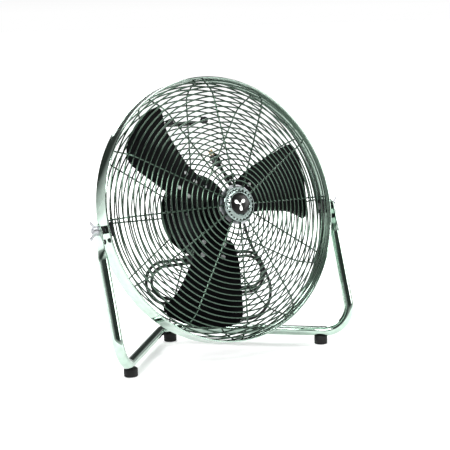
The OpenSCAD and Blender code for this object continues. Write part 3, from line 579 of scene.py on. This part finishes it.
class FAN_OT_camera(Operator):
    """Make the camera that looks up at the fan from its front left"""

    bl_idname = "floor_fan.camera"
    bl_label = "Camera"

    def execute(self, context):
        camera = bpy.data.objects.new("camera", bpy.data.cameras.new("camera"))
        context.scene.collection.objects.link(camera)
        context.scene.camera = camera
        camera.data.sensor_width, camera.data.lens = CAMERA_SENSOR, CAMERA_LENS
        camera.data.dof.use_dof = False
        look = Vector(CAMERA_LOOK).normalized()
        right = look.cross(Vector((0, 0, 1))).normalized()
        up = right.cross(look)
        side = right * math.cos(CAMERA_ROLL) + up * math.sin(CAMERA_ROLL)
        top = side.cross(look)
        turn = Matrix((side, top, -look)).transposed().to_4x4()
        camera.matrix_world = Matrix.Translation(Vector(CENTRE) + Vector(CAMERA_PLACE)) @ turn
        return {"FINISHED"}


class FAN_OT_cord(Operator):
    """Make the power cord and its coil"""

    bl_idname = "floor_fan.cord"
    bl_label = "Power cord"

    def execute(self, context):
        m = finishes()
        line, relief = in_head(cord_line()), bpy.data.objects["cord_relief"]
        curve = bpy.data.curves.new("power_cord", "CURVE")
        curve.dimensions = "3D"
        curve.bevel_depth = 0.004
        curve.bevel_resolution = 4
        curve.resolution_u = 4
        curve.use_fill_caps = True
        spline = curve.splines.new("POLY")
        spline.points.add(len(line) - 1)
        spline.points.foreach_set("co", np.hstack([line, np.ones((len(line), 1))]).ravel())
        cord = bpy.data.objects.new("power_cord", curve)
        context.scene.collection.objects.link(cord)
        set_piece(cord, "head", m["cord jacket"], "cord_rubber", "cord_inlet", "cord_hank", "cord_lead")
        return {"FINISHED"}


class FAN_OT_stage(Operator):
    """Make the pale floor and the soft studio light"""

    bl_idname = "floor_fan.stage"
    bl_label = "Stage"

    def execute(self, context):
        points = FLOOR_HALF * np.array([[-1, -1, 0], [1, -1, 0], [1, 1, 0], [-1, 1, 0]])
        floor = mesh_object("floor", points, [[0, 1, 2, 3]], False)
        material, shader, tree = new_material("pale floor", tuple(settings().finish.floor), 0.0, 0.6)
        tree.links.new(ranged(tree, noise(tree, 3, 4), 0.55, 0.7), shader.inputs["Roughness"])
        place = tree.nodes.new("ShaderNodeTexCoord")
        reach = tree.nodes.new("ShaderNodeVectorMath")
        reach.operation = "LENGTH"
        tree.links.new(place.outputs["Object"], reach.inputs[0])
        shader.inputs["Emission Color"].default_value = (1, 1, 1, 1)
        tree.links.new(ranged(tree, reach.outputs["Value"], 0.25, 1.1, 0.4, 3.0), shader.inputs["Emission Strength"])
        floor.data.materials.append(material)
        for name, place, aim, wide, high, power in LAMPS:
            light = bpy.data.lights.new(name, "AREA")
            light.shape, light.size, light.size_y, light.energy = "RECTANGLE", wide, high, power
            lamp = bpy.data.objects.new(name, light)
            lamp.location = place
            lamp.rotation_mode = "QUATERNION"
            lamp.rotation_quaternion = (Vector(aim) - Vector(place)).to_track_quat("-Z", "Y")
            context.scene.collection.objects.link(lamp)
        world = bpy.data.worlds.new("studio")
        context.scene.world = world
        world.use_nodes = True
        tree = world.node_tree
        background = tree.nodes["Background"]
        place = tree.nodes.new("ShaderNodeTexCoord")
        split = tree.nodes.new("ShaderNodeSeparateXYZ")
        ramp = tree.nodes.new("ShaderNodeValToRGB")
        ramp.color_ramp.elements[0].position = 0.0
        ramp.color_ramp.elements[0].color = (1, 1, 1, 1)
        ramp.color_ramp.elements[1].position = 0.22
        ramp.color_ramp.elements[1].color = (0.045, 0.05, 0.047, 1)
        tree.links.new(place.outputs["Generated"], split.inputs[0])
        tree.links.new(split.outputs["Z"], ramp.inputs["Fac"])
        tree.links.new(ramp.outputs["Color"], background.inputs["Color"])
        background.inputs["Strength"].default_value = 1.0
        context.scene.view_settings.view_transform = "Standard"
        return {"FINISHED"}


class FAN_OT_stand(Operator):
    """Make the bent stand tube with its flattened ends, and the rubber feet"""

    bl_idname = "floor_fan.stand"
    bl_label = "Stand"

    def execute(self, context):
        m, t = finishes(), settings().stand
        corners = PIVOT + np.array([[-t.leg_x, 0, 0], [-t.leg_x, -t.ahead, -t.rise], [0, t.behind, -t.rise],
            [t.leg_x, -t.ahead, -t.rise], [t.leg_x, 0, 0]])
        path, across = stand_path(corners, t.bend_r)
        s = np.concatenate([[0], np.cumsum(np.linalg.norm(np.diff(path, axis=0), axis=1))])
        from_end = np.minimum(s, s[-1] - s)
        reach = t.flat_w / 2
        flat = np.clip((t.flat_l + FLAT_BLEND - from_end) / FLAT_BLEND, 0, 1)
        flat = flat * flat * (3 - 2 * flat)
        tip = np.sqrt(np.clip(1 - np.clip((reach - from_end) / reach, 0, 0.9999) ** 2, 1e-4, 1))
        half_x = t.tube_r + (t.flat_t / 2 - t.tube_r) * flat
        half_y = (t.tube_r + (t.flat_w / 2 - t.tube_r) * flat) * tip
        rings = sweep_points(path, half_x, half_y, across, 40, 2 + 2.5 * flat)
        set_piece(capped("stand_tube", rings), "stand", m["chrome tube"], "stand_chrome", "frame_tube")
        for node in ("foot_front_left", "foot_front_right", "foot_rear"):
            low, high = (np.array(c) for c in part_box(node))
            middle = (low + high) / 2
            r, h = (high[0] - low[0]) / 2, high[2] - low[2] - 0.0015
            z = np.array([0, 0, 0.0008, 0.003, 0.0045, 0.0052, 0.0065, 0.010, h - 0.004, h - 0.0015, h, h])
            w = np.array([0, r - 0.003, r - 0.0012, r, r, r - 0.0012, r, r, r, r - 0.0008, r - 0.003, 0])
            a = np.arange(48)[:, None] / 48 * TAU
            points = polar(w, a, low[2] + z) + [middle[0], middle[1], 0]
            foot = merge_points(join_grids(node + "_rubber", points[None], True, False))
            set_piece(foot, "stand", m["black rubber"], "foot_rubber", node)
        return {"FINISHED"}


def stand_path(corners, bend_r):
    """The tube's middle line, straight between corners and round at each, with a side vector at each point.
    The ends carry on past the pivots by half the flattened width."""
    t = settings().stand
    d = np.diff(corners, axis=0)
    d /= np.linalg.norm(d, axis=1, keepdims=True)
    reach = t.flat_w / 2
    first = corners[0] - d[0] * reach
    last = corners[-1] + d[-1] * reach
    round_end = reach * (1 - np.cos(np.linspace(0.02, math.pi / 2, 12)))
    near = np.concatenate([round_end, reach + np.linspace(0.004, t.flat_l + FLAT_BLEND, 26)])
    path = [first + d[0] * near[:, None]]
    for i in (1, 2, 3):
        turn = math.acos(float(d[i - 1] @ d[i]))
        into = d[i] - d[i - 1] * (d[i] @ d[i - 1])
        into /= np.linalg.norm(into)
        start = corners[i] - d[i - 1] * bend_r * math.tan(turn / 2)
        a = np.linspace(0, turn, 25)[:, None]
        path.append(start + into * bend_r * (1 - np.cos(a)) + d[i - 1] * bend_r * np.sin(a))
    path.append((last - d[-1] * near[:, None])[::-1])
    path = np.vstack(path)
    across = parallel_sides(path, np.array([1.0, 0, 0]))
    return path, across


def parallel_sides(path, first):
    """A side vector carried along the path without twisting, then untwisted so that both ends face the same way."""
    d = along(path)
    side = [first - d[0] * (first @ d[0])]
    for before, now in zip(d[:-1], d[1:]):
        u = side[-1]
        side.append(u - now * (u @ now))
        side[-1] = side[-1] / np.linalg.norm(side[-1])
    side = np.array(side)
    wanted = first - d[-1] * (first @ d[-1])
    wanted /= np.linalg.norm(wanted)
    twist = math.atan2(float(np.cross(side[-1], wanted) @ d[-1]), float(side[-1] @ wanted))
    if abs(twist) > math.pi / 2:
        twist -= math.copysign(math.pi, twist)
    a = np.linspace(0, 1, len(path))[:, None] * twist
    return side * np.cos(a) + np.cross(d, side) * np.sin(a)


class FAN_OT_cage(Operator):
    """Make the rim band and both wire guards"""

    bl_idname = "floor_fan.cage"
    bl_label = "Cage"

    def execute(self, context):
        m, h = finishes(), settings().head
        edge = h.rim_depth / 2 - h.bead_r
        a = np.linspace(-0.35, math.pi + 0.9, 12)
        centre = h.rim_r - 0.0018
        top = np.stack([centre + h.bead_r * np.cos(a), edge + h.bead_r * np.sin(a)], axis=1)
        outer, inner = h.rim_r, h.rim_r - h.rim_sheet
        profile = np.vstack([[[outer, -edge + 0.003], [outer, 0], [outer, edge - 0.003]], top,
            [[inner, edge - 0.004], [inner, 0], [inner, -edge + 0.004]], (top * [1, -1])[::-1]])
        set_piece(revolve("rim_hoop", profile, 192), "head", m["chrome rim"], "guard_chrome", "rim_band")
        wires = (
            (guard_rings("front_rings", FRONT, 1), "front_guard_rings"),
            (guard_rings("rear_rings", REAR, -1), "rear_guard_rings"),
            (guard_ribs("front_ribs", FRONT, 1, 0.038), "front_guard_ribs"),
            (guard_ribs("rear_ribs", REAR, -1, 0.095), "rear_guard_ribs"),
        )
        for piece, node in wires:
            set_piece(piece, "head", m["chrome wire"], "guard_chrome", node)
        return {"FINISHED"}


class FAN_OT_badge(Operator):
    """Make the fluted chrome dish and its black label with a plain three-blade sign"""

    bl_idname = "floor_fan.badge"
    bl_label = "Badge"

    def execute(self, context):
        m, h = finishes(), settings().head
        back = badge_back()
        lip, inner = h.badge_r, h.label_r + 0.0008
        profile = [(0, 0), (lip - 0.002, 0), (lip, 0.0012), (lip, 0.0030), (lip - 0.0009, 0.0046),
            (lip - 0.0024, 0.0050), (lip - 0.0040, 0.0042), (lip - 0.0060, 0.0040), (lip - 0.0090, 0.0052),
            (lip - 0.0120, 0.0070), (inner + 0.0036, 0.0084), (inner + 0.0018, 0.0090), (inner + 0.0004, 0.0086),
            (inner, 0.0070), (inner, 0.0060), (0, 0.0060)]
        profile = np.array(profile) + [0, back]

        def flutes(r, z, angle):
            band = np.clip((r - inner - 0.003) / 0.003, 0, 1) * np.clip((lip - 0.004 - r) / 0.002, 0, 1)
            band = band * (z > back + 0.003)
            return -0.0014 * band * np.abs(np.sin(angle * h.flutes / 2))

        dish = revolve("badge_ring", profile, h.flutes * 12, flutes)
        set_piece(dish, "head", m["chrome badge"], "guard_chrome", "badge_dish")
        face = back + 0.0066
        r = h.label_r
        disc = [(0, 0), (r - 0.0004, 0), (r, 0.0004), (r, 0.0012), (r - 0.0006, 0.0016), (r * 0.5, 0.0018), (0, 0.0019)]
        label = revolve("badge_disc", np.array(disc) + [0, face], 96)
        set_piece(label, "head", m["label black"], "black_plastic", "badge_label")
        set_piece(fan_sign(face + 0.0019), "head", m["label white"], "black_plastic")
        return {"FINISHED"}


def badge_back():
    """Depth of the dish's back: just clear of the front ribs' inner ends."""
    at, total, dome = guard_outline(*FRONT)
    _, z, _ = at(total + 0.012 / math.sin(dome))
    return float(z) + settings().head.rib_r / math.sin(dome) + 0.00005


def fan_sign(z):
    """Three leaf shapes and a dot, raised a little: each leaf is a disc stretched away from the middle."""
    rows = np.linspace(0, 1, 7)[:, None]
    a = np.arange(24) / 24 * TAU
    height = z + 0.0003 * (1 - rows**4)
    across = (0.0042 + 0.0014 * np.cos(a)) * rows * np.sin(a) + 0.0018 * rows
    leaf = np.stack([0.0105 + 0.0062 * rows * np.cos(a), across, height + 0 * a], axis=-1)
    dot = polar(0.0026 * rows, a, height)
    grids = [turned(leaf, k * TAU / 3 + 0.4) for k in range(3)] + [dot]
    return merge_points(join_grids("badge_sign", in_head(np.stack(grids)), False, True))


class FAN_OT_blades(Operator):
    """Make the three cambered paddle blades"""

    bl_idname = "floor_fan.blades"
    bl_label = "Blades"

    def execute(self, context):
        m = finishes()
        for i in range(3):
            piece = blade_object(f"paddle_{i + 1}", i)
            set_piece(piece, "rotor", m["blade paint"], "blade_paint", f"blade_{i + 1}")
        return {"FINISHED"}


# A blade's edge, in millimetres: along its own middle line and across it, counter-clockwise seen from the front.
BLADE_EDGE = [(70, -28), (80, -47), (120, -50), (160, -62), (190, -73), (215, -84), (240, -103), (257, -118),
    (274, -108), (287, -76), (294, -34), (293, 8), (287, 50), (272, 78), (250, 85), (215, 81), (172, 75), (125, 67),
    (80, 50), (70, 28)]


def blade_outline(steps):
    """A smooth closed curve through the edge points."""
    edge = np.array(BLADE_EDGE, float) / 1000
    return catmull_rom(np.vstack([edge[-1], edge, edge[:2]]), steps)


def blade_object(name, i):
    """A sheet on a cylinder of the camber radius, pitched about its own length.
    Rings shrink from the outline to its middle on the front face, and again on the back."""
    t = settings().rotor
    outline = blade_outline(6)
    middle = np.array([0.19, -0.005])
    inset = np.array([1.0, 0.9965, 0.99, 0.95, 0.88, 0.75, 0.6, 0.45, 0.3, 0.15, 0.0])
    lift = np.array([0.5, 0.85, 1.0] + [1.0] * 8)
    flat = middle + (outline - middle) * inset[:, None, None]
    x, y = flat[..., 0], flat[..., 1]
    groove = 0.0008 * np.exp(-((y / 0.010) ** 2)) * np.clip((x - 0.13) / 0.02, 0, 1) * np.clip((0.27 - x) / 0.02, 0, 1)
    sag = t.camber_r - 0.005 - np.sqrt(t.camber_r**2 - flat[..., 1] ** 2)
    half = t.sheet / 2
    front = sag - half + half * (2 * lift[:, None] - 1) + groove
    back = sag - half - half * (2 * lift[:, None] - 1)
    face = np.concatenate([flat[::-1], flat[1:]])
    depth = np.concatenate([front[::-1], back[1:]])
    p = np.stack([face[..., 0], face[..., 1], depth], axis=-1)
    c, s = math.cos(t.pitch), math.sin(t.pitch)
    p = np.stack([p[..., 0], c * p[..., 1] - s * p[..., 2], s * p[..., 1] + c * p[..., 2] + t.plane], axis=-1)
    return merge_points(join_grids(name, in_head(turned(p, t.start + i * TAU / 3))[None], False, True), 2e-6)


class FAN_OT_fittings(Operator):
    """Make the ribbed strain relief and the ribbed grip of the carry handle"""

    bl_idname = "floor_fan.fittings"
    bl_label = "Grip and strain relief"

    def execute(self, context):
        m = finishes()
        exit_y, exit_z = INLET_ROUTE[0][1] / 1000 + 0.024, INLET_ROUTE[0][2] / 1000
        t = np.linspace(0, 1, 49)
        collar = np.array([[0.0055, -0.004], [0.0060, -0.0036], [0.0060, 0.0022], [0.0090, 0.0023], [0.0090, 0.0036],
            [0.0078, 0.0042]])
        ribs = np.stack([0.0074 - 0.0026 * t - 0.0007 * (np.sin(t * TAU * 6) < -0.2), 0.0046 + 0.0190 * t], axis=1)
        profile = np.vstack([[[0.0001, -0.004]], collar, ribs, [[0.0001, 0.0238]]])
        a = np.arange(32)[:, None] / 32 * TAU
        r, out = profile[:, 0], profile[:, 1]
        points = np.stack([r * np.cos(a), exit_y - out + 0 * a, exit_z + r * np.sin(a)], axis=-1)
        relief = merge_points(join_grids("cord_relief", in_head(points)[None], True, False))
        set_piece(relief, "head", m["black rubber"], "cord_rubber", "strain_relief")
        low, high = (np.array(c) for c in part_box("handle_grip"))
        middle, half = (low + high) / 2, (high[0] - low[0]) / 2
        r = (high[1] - low[1]) / 2
        x = np.linspace(-half, half, 141)
        ease = np.sqrt(np.clip(1 - np.clip((np.abs(x) - half + 0.003) / 0.003, 0, 0.999) ** 2, 0, 1))
        radius = (r - 0.00045 * (1 - np.cos(x * TAU / 0.0045))) * (0.75 + 0.25 * ease)
        path = middle + x[:, None] * RIGHT
        rings = sweep_points(path, radius, radius, (0, 0, 1), 24)
        set_piece(capped("ribbed_grip", rings), "head", m["black rubber"], "cord_rubber", "handle_grip")
        return {"FINISHED"}


KEPT = {
    "zinc plate": ("foot_screws", "pivot_bolt_left", "pivot_bolt_right", "mount_screws", "through_bolts", "set_screw",
        "front_hub_plate", "front_bearing", "rear_bearing", "wing_nut_left", "wing_nut_right"),
    "black rubber": ("pivot_spacer_left", "pivot_spacer_right", "friction_pads", "plug_body"),
    "chrome rim": ("motor_mount_plate",),
    "black plastic": ("pivot_block_left", "pivot_block_right", "switch_cover", "speed_knob", "cord_clip_left",
        "cord_clip_right", "cord_clip_upper", "capacitor", "handle_wire", "handle_clamps"),
    "motor paint": ("motor_shell", "motor_front_bell", "motor_rear_bell"),
    "stacked laminations": ("stator_core", "rotor_core"),
    "copper windings": ("stator_windings",),
    "phenolic board": ("switch_body",),
    "ground shaft": ("motor_shaft", "blade_rivets"),
    "blade paint": ("blade_hub",),
    "brass blade": ("plug_blades",),
}


class FAN_OT_kept(Operator):
    """Give every carried-over piece its finish"""

    bl_idname = "floor_fan.kept"
    bl_label = "Carried-over pieces"

    def execute(self, context):
        m = finishes()
        for name, nodes in KEPT.items():
            for node in nodes:
                piece = frame["nodes"][node]
                for place in piece.material_slots:
                    place.material = m[name]
                bevel = piece.modifiers.new("eased edges", "BEVEL")
                bevel.width, bevel.segments = 0.0005, 2
                bevel.limit_method, bevel.angle_limit = "ANGLE", math.radians(40)
        return {"FINISHED"}


class FAN_PT_panel(Panel):
    """The fan's sizes and the steps that make it"""

    bl_label = "Floor fan"
    bl_idname = "FAN_PT_panel"
    bl_space_type = "VIEW_3D"
    bl_region_type = "UI"
    bl_category = "Floor fan"

    def draw(self, context):
        for step in STEPS:
            self.layout.operator(step.bl_idname)
        for group in ("head", "rotor", "stand", "finish"):
            box = self.layout.box()
            box.label(text=group.capitalize())
            values = getattr(context.scene.floor_fan, group)
            for key in values.__annotations__:
                box.prop(values, key)


STEPS = (FAN_OT_camera, FAN_OT_fittings, FAN_OT_cord, FAN_OT_stage, FAN_OT_stand, FAN_OT_cage, FAN_OT_badge,
    FAN_OT_blades, FAN_OT_kept)
GROUPS = (HeadSizes, RotorSizes, StandSizes, Finishes, FanSettings)


def register():
    for item in (*GROUPS, *STEPS, FAN_PT_panel):
        bpy.utils.register_class(item)
    bpy.types.Scene.floor_fan = PointerProperty(type=FanSettings)


def unregister():
    del bpy.types.Scene.floor_fan
    for item in reversed((*GROUPS, *STEPS, FAN_PT_panel)):
        bpy.utils.unregister_class(item)


def main():
    register()
    for step in STEPS:
        group, name = step.bl_idname.split(".")
        getattr(getattr(bpy.ops, group), name)()


if __name__ == "__main__":
    main()
